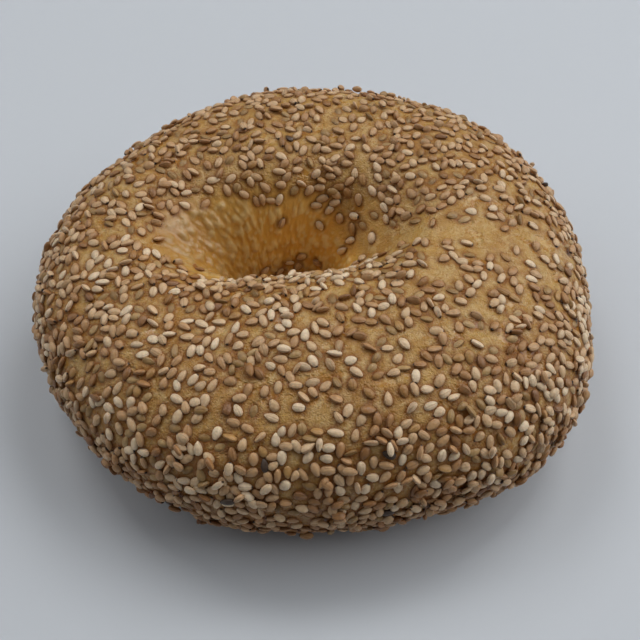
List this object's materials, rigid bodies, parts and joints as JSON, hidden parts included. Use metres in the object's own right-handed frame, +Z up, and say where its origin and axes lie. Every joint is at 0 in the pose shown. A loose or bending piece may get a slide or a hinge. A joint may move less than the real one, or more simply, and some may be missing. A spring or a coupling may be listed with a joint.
{
  "type": "sesame bagel",
  "caption": "Ring-shaped sesame bagel with a golden crust, lying on its flat underside; its oval hole opens wide to both sides.",
  "frame": {"origin": "middle of the footprint, on the surface that the bagel lies on", "axes": "+Z up out of the crown, +X along the bagel's longer side, +Y towards the side where the hole's wall is steep; the widest, funnel-like side of the hole faces -X"},
  "size_m": [0.1249, 0.1171, 0.0403],
  "materials": {
    "crust": "satin golden-brown baked crust, thinly blistered and wrinkled, darker between the seeds; matte_plastic stands for bread",
    "sesame": "dull, slightly waxy cream to tan hulled sesame seeds, a few of them toasted or dark; matte_plastic stands for seed"
  },
  "bodies": {
    "root": {"bagel": "crust"}
  },
  "joints": []
}
